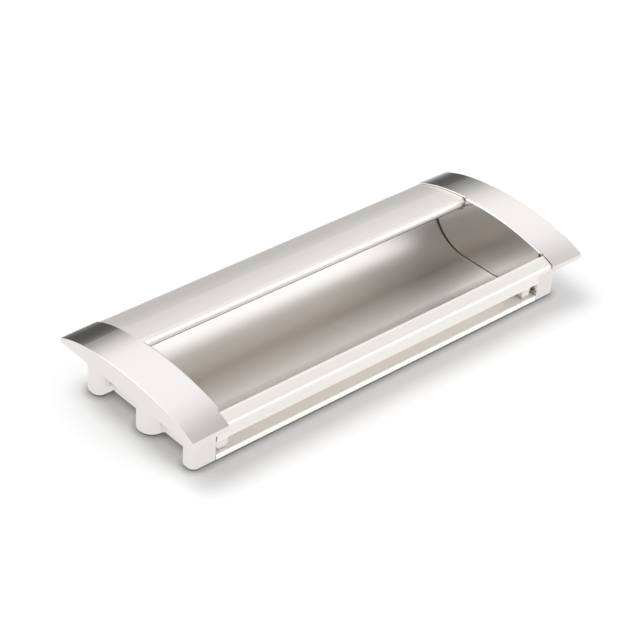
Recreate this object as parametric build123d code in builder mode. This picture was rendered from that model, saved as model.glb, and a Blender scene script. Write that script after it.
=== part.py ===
from build123d import *
import math
import os

# Recessed furniture handle: an extruded finger trough between two cast end caps.
# X runs along the handle, Y from front (-) to back (+), Z out of the panel.
# The origin is the middle of the handle, level with the undersides of its feet.
# Heights are named from the face of the panel, which lies recess_depth above the origin.

# Overall sizes in millimetres
overall_length = 143.6
overall_width = 56.0
recess_depth = 13.0
screw_spacing = 128.0
cap_width = 11.8

# Arched faces: a middle arc and two tighter shoulder arcs that end at the rim
shoulder_reach = 18.0
shoulder_rise = 0.65
rim_outer = 1.3
rim_inner = 1.65
crown_outer = 6.3
crown_inner = 7.0
outer_edge_radius = 0.2

# Cast end cap
cap_shell = 1.5
cap_pocket_inset = 5.5
end_wall_thickness = 3.7
end_wall_lift = 0.8
plug_reach = 1.8
plug_draft = 3.2
plug_clearance = 0.2
plug_back_clearance = 0.7
plug_edge_radius = 0.7
front_post_inset = 4.9
back_post_inset = 5.8
boss_seat = 3.0
screw_boss_radius = 4.2
screw_boss_place = -1.7
screw_hole_radius = 1.65
screw_hole_depth = 9.0
back_post_width = 6.0
back_post_reach = 4.7
back_post_radius = 2.4
front_post_width = 5.2
front_post_reach = 3.9
front_post_radius = 2.0
foot_edge_chamfer = 0.15
groove_width = 1.2
groove_depth = 0.8
rib_width = 0.9
rib_height = 0.5

# Extruded profile
wall = 1.2
end_gap = 0.2
face_step = 0.6
profile_rim = 1.2
front_rim_setback = 0.7
back_rim_setback = 0.1
rail_width = 4.5
lip_underside = 2.6
lip_reach = 11.9
lip_root_inset = 7.8
nose_radius = 1.65
trough_front_radius = 16.0
trough_back_radius = 15.0
skirt_inset = 4.7
skirt_drop = 7.1
skirt_edge_radius = 0.4
foot_flange_setback = 0.15
foot_flange_thickness = 1.75
rail_edge_radius = 1.2
front_rim_radius = 0.8
lip_root_radius = 0.5
small_radius = 0.25

# Finger of each cap that slides into the groove behind the front skirt
finger_reach = 5.0
finger_clearance = 0.12
finger_lift = 0.35
finger_thickness = 3.5
finger_top = -5.7
finger_tip_radius = 0.7
root_gap_width = 0.8
root_gap_depth = 1.6
root_gap_top = -4.0
root_radius = 1.5

half_length = overall_length / 2
half_width = overall_width / 2
cap_inner = half_length - cap_width
plug_face = cap_inner - plug_reach
wall_outer = cap_inner + end_wall_thickness
screw_x = screw_spacing / 2
cutout_front = half_width - front_post_inset
cutout_back = half_width - back_post_inset
trough_floor = wall - recess_depth
rail_inner = front_rim_setback + rail_width - half_width
lip_root = half_width - lip_root_inset
nose_tip = lip_root - lip_reach
trough_front_centre = rail_inner + trough_front_radius
trough_back_centre = lip_root - trough_back_radius
skirt_face = half_width - skirt_inset
foot_flange_face = skirt_face - foot_flange_setback
profile_crown = crown_inner - face_step
mouth_top = crown_inner + 2
foot_flange_top = foot_flange_thickness - recess_depth
finger_face = wall - skirt_face + finger_clearance
plug_lean = (mouth_top - trough_floor) * math.tan(math.radians(plug_draft))
rise_per_length = (crown_inner - crown_outer) / cap_width
rim_rise_per_length = (rim_inner - rim_outer) / cap_width


def cross_plane(along):
    """Plane across the handle, its own origin level with the face of the panel."""
    return Plane((along, 0, recess_depth), x_dir=(0, 1, 0), z_dir=(1, 0, 0))


def arch_shape(rim, crown):
    """Face between the panel and an arch of three tangent arcs, drawn as Y across and Z up."""
    shoulder_z = rim + (crown - rim) * shoulder_rise
    sagitta = crown - shoulder_z
    crown_radius = (shoulder_reach**2 + sagitta**2) / (2 * sagitta)
    slope = math.asin(shoulder_reach / crown_radius)
    front = (-shoulder_reach, shoulder_z)
    back = (shoulder_reach, shoulder_z)
    with BuildSketch(mode=Mode.PRIVATE) as shape:
        with BuildLine():
            Polyline((-half_width, rim), (-half_width, 0), (half_width, 0), (half_width, rim))
            ThreePointArc(front, (0, crown), back)
            TangentArc(back, (half_width, rim), tangent=(math.cos(slope), -math.sin(slope)))
            TangentArc(front, (-half_width, rim), tangent=(-math.cos(slope), -math.sin(slope)))
        make_face()
    return shape.sketch


def bowl_shape(grow, top, back_gap=0):
    """Bowl of the trough up to a level, its walls moved outward by grow, the back one by back_gap less."""
    front_radius = trough_front_radius + grow
    back_radius = trough_back_radius + grow
    floor = trough_floor - grow
    back_centre = trough_back_centre - back_gap
    front = trough_front_centre - front_radius
    back = back_centre + back_radius
    with BuildSketch(mode=Mode.PRIVATE) as shape:
        with BuildLine():
            Line((front, top), (front, floor + front_radius))
            RadiusArc((trough_front_centre, floor), (front, floor + front_radius), front_radius)
            Line((trough_front_centre, floor), (back_centre, floor))
            RadiusArc((back, floor + back_radius), (back_centre, floor), back_radius)
            Line((back, floor + back_radius), (back, top))
            Line((back, top), (front, top))
        make_face()
    return shape.sketch


def window_shape(clearance, back_clearance):
    """Opening of the trough, less the gaps given: the bowl without the round-nosed lip over its back."""
    underside = lip_underside - back_clearance
    nose_centre = (nose_tip + nose_radius, lip_underside + nose_radius)
    with BuildSketch(mode=Mode.PRIVATE) as shape:
        add(bowl_shape(-clearance, mouth_top, back_clearance - clearance))
        with Locations((nose_centre[0], underside)):
            Rectangle(half_width, mouth_top, align=(Align.MIN, Align.MIN), mode=Mode.SUBTRACT)
        with Locations(nose_centre):
            Circle(nose_radius + back_clearance, mode=Mode.SUBTRACT)
    return shape.sketch


def plug_shape():
    """Section of the plug: the opening of the trough less the gaps round it."""
    with BuildSketch(mode=Mode.PRIVATE) as shape:
        add(window_shape(plug_clearance, plug_back_clearance))
        with Locations((nose_tip - plug_back_clearance, lip_underside + nose_radius)):
            Rectangle(half_width, mouth_top, align=(Align.MIN, Align.MIN), mode=Mode.SUBTRACT)
    return shape.sketch


def strip_shape(along):
    """Section of the arched strip, which falls evenly from the profile to the end of the handle."""
    beyond = along - cap_inner
    return arch_shape(rim_inner - beyond * rim_rise_per_length, crown_inner - beyond * rise_per_length)


def finger_shape():
    """Section of the finger, which stands in the groove between skirt, bowl and foot flange."""
    with BuildSketch(mode=Mode.PRIVATE) as shape:
        with Locations((finger_face, foot_flange_top + finger_lift)):
            Rectangle(
                finger_thickness,
                finger_top - foot_flange_top - finger_lift,
                align=(Align.MIN, Align.MIN),
            )
        add(bowl_shape(wall + finger_clearance, mouth_top), mode=Mode.SUBTRACT)
    return shape.sketch


def round_corner(sketch, across, up, radius):
    """Round the corner of a sketch that lies nearest to a place in its own plane."""
    fillet(sketch.vertices().sort_by_distance((across, up, 0))[0], radius)


with BuildPart() as centre_profile:
    with BuildSketch(cross_plane(0)) as section:
        add(arch_shape(profile_rim, profile_crown))
        with Locations((-half_width, 0)):
            Rectangle(front_rim_setback, mouth_top, align=(Align.MIN, Align.MIN), mode=Mode.SUBTRACT)
        with Locations((half_width, 0)):
            Rectangle(back_rim_setback, mouth_top, align=(Align.MAX, Align.MIN), mode=Mode.SUBTRACT)
        # walls of the bowl, kept below the arched face
        with BuildSketch(mode=Mode.PRIVATE) as bowl:
            add(bowl_shape(wall, mouth_top))
            with Locations((0, profile_rim / 2)):
                Rectangle(
                    overall_width, recess_depth * 2, align=(Align.CENTER, Align.MAX), mode=Mode.INTERSECT
                )
        add(bowl.sketch)
        # front skirt, and the foot flange below it that leaves a groove between them
        with Locations((-skirt_face, 0)):
            Rectangle(wall, skirt_drop, align=(Align.MIN, Align.MAX))
        with Locations((-foot_flange_face, -recess_depth)):
            Rectangle(
                foot_flange_face + trough_front_centre,
                foot_flange_thickness,
                align=(Align.MIN, Align.MIN),
            )
        add(window_shape(0, 0), mode=Mode.SUBTRACT)
        round_corner(section, rail_inner, profile_rim * 2, rail_edge_radius)
        round_corner(section, lip_root, lip_underside, lip_root_radius)
        round_corner(section, front_rim_setback - half_width, profile_rim, front_rim_radius)
        round_corner(section, front_rim_setback - half_width, 0, small_radius)
        round_corner(section, half_width - back_rim_setback, profile_rim, small_radius)
        round_corner(section, half_width - back_rim_setback, 0, small_radius)
        round_corner(section, -skirt_face, -skirt_drop, skirt_edge_radius)
        round_corner(section, wall - skirt_face, -skirt_drop, skirt_edge_radius)
        round_corner(section, -foot_flange_face, foot_flange_top, small_radius)
        round_corner(section, -foot_flange_face, -recess_depth, small_radius)
    extrude(amount=cap_inner - end_gap, both=True)
centre_profile.part.label = "centre_profile"

with BuildPart() as right_end_cap:
    # arched strip, which over the trough reaches as far inward as the plug under it
    with BuildSketch(cross_plane(plug_face)) as strip_inner:
        add(strip_shape(plug_face))
    with BuildSketch(cross_plane(half_length)) as strip_outer:
        add(strip_shape(half_length))
    loft(ruled=True)
    with BuildSketch(cross_plane(plug_face)) as beside_plug:
        Rectangle(overall_width * 2, mouth_top * 2)
        add(plug_shape(), mode=Mode.SUBTRACT)
    extrude(amount=plug_reach, mode=Mode.SUBTRACT)
    outer_rim = right_end_cap.edges().filter_by_position(
        Axis.X, half_length - 0.01, half_length + 0.01
    )
    side_rims = (
        right_end_cap.edges()
        .filter_by(GeomType.LINE)
        .filter_by(lambda edge: abs(abs((edge @ 0.5).Y) - half_width) < 0.01)
        .filter_by(lambda edge: abs((edge % 0.5).X) > 0.9)
    )
    fillet(outer_rim + side_rims, outer_edge_radius)

    # plug that closes the end of the trough, its face leaning outward and its top edge rounded
    with BuildSketch(cross_plane(plug_face)) as plug:
        add(plug_shape())
        with Locations((0, rim_outer)):
            Rectangle(
                overall_width, recess_depth * 2, align=(Align.CENTER, Align.MAX), mode=Mode.INTERSECT
            )
    extrude(amount=plug_reach)
    with BuildSketch(Plane.XZ) as lean:
        with BuildLine():
            Polyline(
                (plug_face, recess_depth + trough_floor),
                (plug_face, recess_depth + mouth_top),
                (plug_face + plug_lean, recess_depth + mouth_top),
                close=True,
            )
        make_face()
    extrude(amount=half_width, both=True, mode=Mode.SUBTRACT)
    plug_side = right_end_cap.faces().filter_by(GeomType.PLANE).sort_by(Axis.X)[0]
    plug_top = (
        plug_side.edges()
        .filter_by(GeomType.BSPLINE)
        .filter_by(lambda edge: (edge @ 0.5).Z > recess_depth + rim_inner)
    )
    fillet(plug_top, plug_edge_radius)

    # hollow under the strip
    with BuildSketch(cross_plane(wall_outer)) as pocket:
        add(arch_shape(rim_outer, crown_outer - cap_shell))
        Rectangle(overall_width - 2 * cap_pocket_inset, mouth_top * 2, mode=Mode.INTERSECT)
    extrude(amount=half_length - cap_shell - wall_outer, mode=Mode.SUBTRACT)

    # end wall, a little shorter than the feet
    with BuildSketch(Plane.XY.offset(end_wall_lift)) as end_wall:
        with Locations((cap_inner, -cutout_front)):
            Rectangle(end_wall_thickness, cutout_front + cutout_back, align=(Align.MIN, Align.MIN))
    extrude(amount=recess_depth - end_wall_lift)

    # feet: screw boss, back post and front post, which stand in the cut-out of the panel
    with BuildSketch(Plane.XY) as feet:
        with Locations((screw_x, screw_boss_place)):
            Circle(screw_boss_radius)
        with Locations((cap_inner, cutout_back)):
            Rectangle(
                end_wall_thickness + back_post_reach, back_post_width, align=(Align.MIN, Align.MAX)
            )
        with Locations((cap_inner, -cutout_front)):
            Rectangle(
                end_wall_thickness + front_post_reach, front_post_width, align=(Align.MIN, Align.MIN)
            )
        round_corner(feet, wall_outer + back_post_reach, cutout_back, back_post_radius)
        round_corner(
            feet, wall_outer + back_post_reach, cutout_back - back_post_width, back_post_radius
        )
        round_corner(feet, wall_outer + front_post_reach, -cutout_front, front_post_radius)
        round_corner(
            feet, wall_outer + front_post_reach, front_post_width - cutout_front, front_post_radius
        )
        with Locations((cap_inner, 0)):
            Rectangle(half_length, overall_width, align=(Align.MIN, Align.CENTER), mode=Mode.INTERSECT)
    extrude(amount=recess_depth + boss_seat)
    foot_edges = right_end_cap.edges().filter_by_position(Axis.Z, -0.01, 0.01)
    chamfer(foot_edges, foot_edge_chamfer)

    # groove beside the back post and rib beside the screw boss
    with Locations((wall_outer, cutout_back - back_post_width, 0)):
        Box(
            2 * groove_depth,
            groove_width,
            recess_depth,
            align=(Align.CENTER, Align.MAX, Align.MIN),
            mode=Mode.SUBTRACT,
        )
    with Locations((wall_outer, screw_boss_place - screw_boss_radius, end_wall_lift)):
        Box(
            2 * rib_height,
            rib_width,
            recess_depth - end_wall_lift,
            align=(Align.CENTER, Align.MAX, Align.MIN),
        )

    # finger that slides into the groove of the profile
    with BuildSketch(cross_plane(cap_inner - finger_reach)) as finger:
        add(finger_shape())
    extrude(amount=finger_reach)
    finger_tip = right_end_cap.edges().filter_by_position(
        Axis.X, cap_inner - finger_reach - 0.01, cap_inner - finger_reach + 0.01
    )
    fillet(finger_tip.sort_by(Axis.Z)[0], finger_tip_radius)

    # gap between the finger's root and the front post, rounded on the finger's side
    gap_start = cap_inner - root_gap_width
    gap_back = finger_face + root_gap_depth
    with BuildSketch(Plane.XY) as root_gap:
        with BuildLine():
            Polyline(
                (gap_start - root_radius, finger_face),
                (gap_start - root_radius, -cutout_front),
                (cap_inner, -cutout_front),
                (cap_inner, gap_back),
                (gap_start, gap_back),
                (gap_start, finger_face + root_radius),
            )
            RadiusArc(
                (gap_start, finger_face + root_radius), (gap_start - root_radius, finger_face), root_radius
            )
        make_face()
    extrude(amount=recess_depth + root_gap_top, mode=Mode.SUBTRACT)

    with BuildSketch(Plane.XY) as screw_hole:
        with Locations((screw_x, screw_boss_place)):
            Circle(screw_hole_radius)
    extrude(amount=screw_hole_depth, mode=Mode.SUBTRACT)
right_end_cap.part.label = "right_end_cap"

with BuildPart() as left_end_cap:
    mirror(right_end_cap.part, about=Plane.YZ)
left_end_cap.part.label = "left_end_cap"

os.makedirs("parts", exist_ok=True)
export_step(centre_profile.part, "parts/centre_profile.step")
export_step(right_end_cap.part, "parts/right_end_cap.step")
export_step(left_end_cap.part, "parts/left_end_cap.step")
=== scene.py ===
import math

import bpy
import numpy as np
from mathutils import Matrix, Vector

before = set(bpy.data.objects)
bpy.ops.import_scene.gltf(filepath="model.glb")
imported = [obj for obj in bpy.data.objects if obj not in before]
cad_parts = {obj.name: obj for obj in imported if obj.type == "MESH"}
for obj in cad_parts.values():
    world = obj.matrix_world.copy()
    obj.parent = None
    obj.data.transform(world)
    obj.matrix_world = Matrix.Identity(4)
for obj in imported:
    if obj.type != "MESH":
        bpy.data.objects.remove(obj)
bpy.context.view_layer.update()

# Photograph: 640 by 640 pixels, with the middle of the handle at this place in it
photo_size = 640
photo_focal_px = 1986.0
photo_middle_px = (332.5, 294.1)
photo_azimuth = -43.95
photo_elevation = 35.39
photo_roll = 4.18
camera_distance = 0.550
middle_height = 0.0143
sensor_mm = 36.0
nearest_drawn = 0.01

# Floor, in metres: it is drawn whiter far away, and painted contact shade makes it darker where the handle
# nearly touches it
floor_half = 0.90
floor_drop = 0.0006
floor_color = (0.70, 0.70, 0.70, 1.0)
floor_lift = 0.05
far_lift = 0.60
far_lift_fade = (0.20, 0.50)
painted_contact_shade_reach = 0.0025

# What metal sees of the floor: a plain level, which falls off behind the handle
mirrored_share = 0.90
mirrored_level = 0.88
mirrored_fall = 0.76
mirrored_fall_fade = (0.07, 0.20)
mirrored_share_fade = (0.05, 0.12)

# Light tent: a dome, and the fades of its dark card, which stands low down behind the handle
tent_radius = 0.90
tent_rings = 24
tent_segments = 72
card_depth = 0.92
card_top = 0.46
card_top_at_middle = 0.503
card_top_slope = 0.365
card_top_fade = (-0.14, 0.14)
card_back_fade = (0.05, 0.40)
card_left_fade = (0.05, 0.25)
card_right_fade = (0.70, 0.85)
front_depth = 0.35
front_fade = (0.15, 0.60)
front_rise_fade = (0.05, 0.30)

# Patches of the tent: middle, distances at which the patch starts and stops to fade, strength
right_patch = ((0.467, -0.188, 0.746), (0.0, 0.586), 0.55)
viewer_patch = ((-0.512, -0.430, 0.602), (0.15, 0.60), 0.70)
edge_light = ((-0.520, 0.528, 0.509), (0.12, 0.30), 1.6)
window_light = ((0.500, -0.620, 0.400), (0.18, 0.50), 1.1)

# Finishes
white = (1.0, 1.0, 1.0, 1.0)
outer_color = (0.91, 0.872, 0.838, 1.0)
outer_metallic = 0.79
outer_roughness = 0.40
# the metal's tone in the trough, drawn darker than outside: painted shade of the hollow
trough_color_with_painted_shade = (0.83, 0.802, 0.776, 1.0)
trough_smoothing = 0.02
low_matting = 0.50
low_fade = (0.0062, 0.0066)
# painted shade: a near-black colour laid on the band under the nose of the lip
nose_painted_shade_color = (0.10, 0.095, 0.09, 1.0)
cap_color = (0.92, 0.887, 0.866, 1.0)
cap_roughness = 0.17
grain_roughness = 0.08
grain_strength = 0.25
profile_grain = (60.0, 4000.0, 4000.0)
profile_grain_depth = 0.000004
cap_grain = (3000.0, 3000.0, 3000.0)
cap_grain_depth = 0.000002

# Section of the profile: axis of the bowl, its top and back, and the round nose of the lip
bowl_axis = (-0.0068, 0.0172)
bowl_radius_fade = (0.0163, 0.0169)
bowl_top_fade = (0.0150, 0.0162)
bowl_back_fade = (0.0200, 0.0210)
nose_place = 0.00995
nose_height = 0.01725
nose_front_fade = (0.0060, 0.0070)
nose_back_fade = (nose_place - 0.0002, nose_place + 0.0002)
nose_low_fade = (nose_height - 0.0013, nose_height - 0.0011)
nose_high_fade = (nose_height - 0.0008, nose_height - 0.0004)


class Wire:
    """A shader socket that can be used in plain arithmetic."""

    def __init__(self, tree, socket):
        self.tree = tree
        self.socket = socket

    def node(self, kind, settings=None, **inputs):
        """Add a node, set its properties, and link or set its named inputs."""
        made = self.tree.nodes.new(kind)
        for name, value in (settings or {}).items():
            setattr(made, name, value)
        for name, value in inputs.items():
            target = made.inputs[int(name[1:])] if name[1:].isdigit() else made.inputs[name.replace("_", " ")]
            if isinstance(value, Wire):
                self.tree.links.new(value.socket, target)
            else:
                target.default_value = value
        return made

    def take(self, made, output=0):
        """One output of a node as a wire."""
        return Wire(self.tree, made.outputs[output])

    def math(self, operation, first, second=0.0):
        return self.take(self.node("ShaderNodeMath", {"operation": operation}, i0=first, i1=second))

    def __add__(self, other):
        return self.math("ADD", self, other)

    __radd__ = __add__

    def __sub__(self, other):
        return self.math("SUBTRACT", self, other)

    def __rsub__(self, other):
        return self.math("SUBTRACT", other, self)

    def __mul__(self, other):
        return self.math("MULTIPLY", self, other)

    __rmul__ = __mul__

    def minimum(self, other):
        return self.math("MINIMUM", self, other)

    def root(self):
        return self.math("SQRT", self)

    def distance(self, point):
        """Distance of a position from a fixed point."""
        made = self.node("ShaderNodeVectorMath", {"operation": "DISTANCE"}, i0=self, i1=point)
        return self.take(made, "Value")

    def split(self):
        """The three coordinates of a position."""
        return [Wire(self.tree, socket) for socket in self.node("ShaderNodeSeparateXYZ", Vector=self).outputs]

    def blend(self, share, first, second):
        """Mix two colours by a share from 0 to 1."""
        return self.take(self.node("ShaderNodeMix", {"data_type": "RGBA"}, i0=share, i6=first, i7=second), 2)

    def ramp(self, low, high):
        """Rise smoothly from 0 at low to 1 at high."""
        smooth = {"interpolation_type": "SMOOTHSTEP"}
        made = self.node("ShaderNodeMapRange", smooth, Value=self, From_Min=low, From_Max=high)
        return self.take(made, "Result")


def new_material(name):
    """Empty node material, its output node and a wire with the position on the object."""
    material = bpy.data.materials.new(name)
    material.use_nodes = True
    tree = material.node_tree
    tree.nodes.clear()
    output = tree.nodes.new("ShaderNodeOutputMaterial")
    place = tree.nodes.new("ShaderNodeTexCoord")
    return material, tree, output, Wire(tree, place.outputs["Object"])


def metal(name, grain_stretch, grain_depth, finish):
    """Satin metal with a fine grain; finish gives its colour, metallic share and roughness."""
    material, tree, output, place = new_material(name)
    stretched = place.take(place.node("ShaderNodeMapping", Vector=place, Scale=grain_stretch))
    grain = place.take(place.node("ShaderNodeTexNoise", Vector=stretched, Scale=1.0, Detail=3.0), "Fac")
    bump = place.node("ShaderNodeBump", Height=grain, Strength=grain_strength, Distance=grain_depth)
    color, metallic, roughness = finish(place)
    shader = place.node(
        "ShaderNodeBsdfPrincipled",
        Base_Color=color,
        Metallic=metallic,
        Roughness=(grain - 0.5) * grain_roughness + roughness,
        Normal=place.take(bump),
    )
    tree.links.new(shader.outputs[0], output.inputs["Surface"])
    return material


def profile_finish(place):
    """Satin outside; full metal in the trough, with a darker colour there that is painted shade of the
    hollow; more matt low down; and a painted shade line under the nose of the lip.

    The trough is what lies within the bowl's radius of its axis, or behind it, and below the lip. The painted
    shade line is the band of the nose that looks down and forwards.
    """
    y, z = place.split()[1:]
    ahead = (y - bowl_axis[0]).minimum(0.0)
    above = z - bowl_axis[1]
    from_axis = (ahead * ahead + above * above).root()
    inside = 1.0 - from_axis.ramp(*bowl_radius_fade)
    trough = (1.0 - z.ramp(*bowl_top_fade)) * inside * (1.0 - y.ramp(*bowl_back_fade))
    looks_down = z.ramp(*nose_low_fade) * (1.0 - z.ramp(*nose_high_fade))
    looks_ahead = y.ramp(*nose_front_fade) * (1.0 - y.ramp(*nose_back_fade))
    # the trough takes the darker colour, painted shade of the hollow
    before_nose_shade = place.blend(trough, outer_color, trough_color_with_painted_shade)
    # painted shade: the band of the nose that looks down and forwards is coloured near-black
    color = place.blend(looks_down * looks_ahead, before_nose_shade, nose_painted_shade_color)
    low = (1.0 - z.ramp(*low_fade)) * (1.0 - trough)
    metallic = trough * (1.0 - outer_metallic) + outer_metallic - low * low_matting
    return color, metallic, outer_roughness - trough * trough_smoothing


def cap_finish(place):
    """Even satin plating."""
    return cap_color, 1.0, cap_roughness


def dress(node, material):
    """Give a CAD node a new material."""
    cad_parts[node].data.materials.clear()
    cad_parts[node].data.materials.append(material)


def stage_object(name, points, faces, material):
    """Mesh of the studio that lights or carries the handle and isn't part of it."""
    mesh = bpy.data.meshes.new(name)
    mesh.from_pydata(points, [], faces)
    mesh.materials.append(material)
    made = bpy.data.objects.new(name, mesh)
    bpy.context.scene.collection.objects.link(made)
    return made


def add_floor():
    """White floor that keeps the handle's shadow, plus painted contact shade close to it; metal sees it
    white, and darker far behind.
    """
    material, tree, output, place = new_material("white_floor")
    path = tree.nodes.new("ShaderNodeLightPath")
    glossy = place.take(path, "Is Glossy Ray")
    camera = place.take(path, "Is Camera Ray")
    y = place.split()[1]
    near = {"samples": 8}
    # painted contact shade: ambient occlusion darkens the floor's colour where the handle is near
    painted_contact_shade = place.node("ShaderNodeAmbientOcclusion", near, Color=floor_color, Distance=painted_contact_shade_reach)
    matte = place.node("ShaderNodeBsdfDiffuse", Color=place.take(painted_contact_shade, "Color"))
    far = place.distance((0.0, 0.0, 0.0)).ramp(*far_lift_fade)
    lift = place.node("ShaderNodeEmission", Color=white, Strength=camera * (far * far_lift + floor_lift))
    seen = place.node("ShaderNodeAddShader", i0=place.take(matte), i1=place.take(lift))
    level = mirrored_level - y.ramp(*mirrored_fall_fade) * mirrored_fall
    share = glossy * (y.ramp(*mirrored_share_fade) * (1.0 - mirrored_share) + mirrored_share)
    mirrored = place.node("ShaderNodeEmission", Color=white, Strength=level)
    both = place.node("ShaderNodeMixShader", i0=share, i1=place.take(seen), i2=place.take(mirrored))
    tree.links.new(both.outputs[0], output.inputs["Surface"])
    signs = ((-1, -1), (1, -1), (1, 1), (-1, 1))
    corners = [(side * floor_half, end * floor_half, -floor_drop) for side, end in signs]
    stage_object("floor", corners, [(0, 1, 2, 3)], material)


def patch(place, middle, fade):
    """1 near a point of the tent, and 0 far from it."""
    return 1.0 - place.distance(middle).ramp(*fade)


def tent_level(place):
    """Brightness of the tent: 1, less a dark card, a dim front and two patches, plus two bright patches."""
    x, y, z = place.split()
    card_edge = (card_top_at_middle - x * card_top_slope).minimum(card_top)
    below_edge = 1.0 - (z - card_edge).ramp(*card_top_fade)
    between_sides = x.ramp(*card_left_fade) * (1.0 - x.ramp(*card_right_fade))
    card = below_edge * y.ramp(*card_back_fade) * between_sides
    front = (0.0 - y).ramp(*front_fade) * z.ramp(*front_rise_fade)
    level = (1.0 - card * card_depth) * (1.0 - front * front_depth)
    for middle, fade, strength in (right_patch, viewer_patch):
        level = level * (1.0 - patch(place, middle, fade) * strength)
    for middle, fade, strength in (edge_light, window_light):
        level = level + patch(place, middle, fade) * strength
    return level


def add_tent():
    """White light tent over the handle.

    A half dome: a point is the radius times (cos rise cos turn, cos rise sin turn, sin rise), with the rise
    from 0 to a quarter circle and the turn round the full circle.
    """
    material, tree, output, place = new_material("tent")
    glow = place.node("ShaderNodeEmission", Color=white, Strength=tent_level(place))
    tree.links.new(glow.outputs[0], output.inputs["Surface"])
    rise = np.linspace(0.0, math.pi / 2, tent_rings + 1)[:, None]
    turn = np.linspace(0.0, 2 * math.pi, tent_segments, endpoint=False)[None, :]
    ring = np.cos(rise)
    points = tent_radius * np.stack(
        (ring * np.cos(turn), ring * np.sin(turn), np.sin(rise) * np.ones_like(turn)), axis=-1
    )
    here = np.arange(tent_rings * tent_segments).reshape(tent_rings, tent_segments)
    after = np.roll(here, -1, axis=1)
    faces = np.stack((here, after, after + tent_segments, here + tent_segments), axis=-1)
    tent = stage_object("tent", points.reshape(-1, 3).tolist(), faces.reshape(-1, 4).tolist(), material)
    tent.visible_camera = False
    tent.visible_shadow = False


def add_world():
    """White surroundings."""
    world = bpy.data.worlds.new("studio")
    bpy.context.scene.world = world
    world.use_nodes = True
    world.node_tree.nodes["Background"].inputs["Color"].default_value = white
    world.node_tree.nodes["Background"].inputs["Strength"].default_value = 1.0


def add_softbox(name, place, size, power):
    """Rectangular area lamp that points at the handle and that metal doesn't mirror."""
    lamp = bpy.data.lights.new(name, "AREA")
    lamp.shape = "RECTANGLE"
    lamp.size, lamp.size_y = size
    lamp.energy = power
    holder = bpy.data.objects.new(name, lamp)
    bpy.context.scene.collection.objects.link(holder)
    holder.location = place
    holder.rotation_euler = (-Vector(place)).to_track_quat("-Z", "Y").to_euler()
    holder.visible_glossy = False


def add_camera():
    """Camera at the photograph's angle, so that the handle's middle falls on its pixel."""
    turn = math.radians(photo_azimuth)
    rise = math.radians(photo_elevation)
    roll = math.radians(photo_roll)
    back = Vector((math.sin(turn) * math.cos(rise), -math.cos(turn) * math.cos(rise), math.sin(rise)))
    level_right = Vector((math.cos(turn), math.sin(turn), 0.0))
    level_up = back.cross(level_right)
    right = level_right * math.cos(roll) + level_up * math.sin(roll)
    up = level_up * math.cos(roll) - level_right * math.sin(roll)
    across = (photo_middle_px[0] - photo_size / 2) / photo_focal_px * camera_distance
    down = (photo_middle_px[1] - photo_size / 2) / photo_focal_px * camera_distance
    middle = Vector((0.0, 0.0, middle_height))
    place = middle + back * camera_distance - right * across + up * down
    data = bpy.data.cameras.new("camera")
    data.sensor_width = sensor_mm
    data.lens = photo_focal_px / photo_size * sensor_mm
    data.clip_start = nearest_drawn
    camera = bpy.data.objects.new("camera", data)
    bpy.context.scene.collection.objects.link(camera)
    turned = Matrix((right, up, back)).transposed().to_4x4()
    camera.matrix_world = Matrix.Translation(place) @ turned
    bpy.context.scene.camera = camera


profile_metal = metal("satin_aluminium", profile_grain, profile_grain_depth, profile_finish)
cap_metal = metal("satin_nickel", cap_grain, cap_grain_depth, cap_finish)
dress("centre_profile", profile_metal)
dress("left_end_cap", cap_metal)
dress("right_end_cap", cap_metal)

add_floor()
add_tent()
add_world()
add_softbox("overhead", (-0.15, 0.24, 0.80), (0.5, 0.5), 4.2)
add_softbox("front_right", (0.38, -0.60, 0.36), (1.00, 0.95), 1.9)
add_softbox("front_low", (0.10, -0.80, 0.10), (0.5, 0.15), 2.6)
add_camera()

bpy.context.scene.view_settings.view_transform = "Standard"
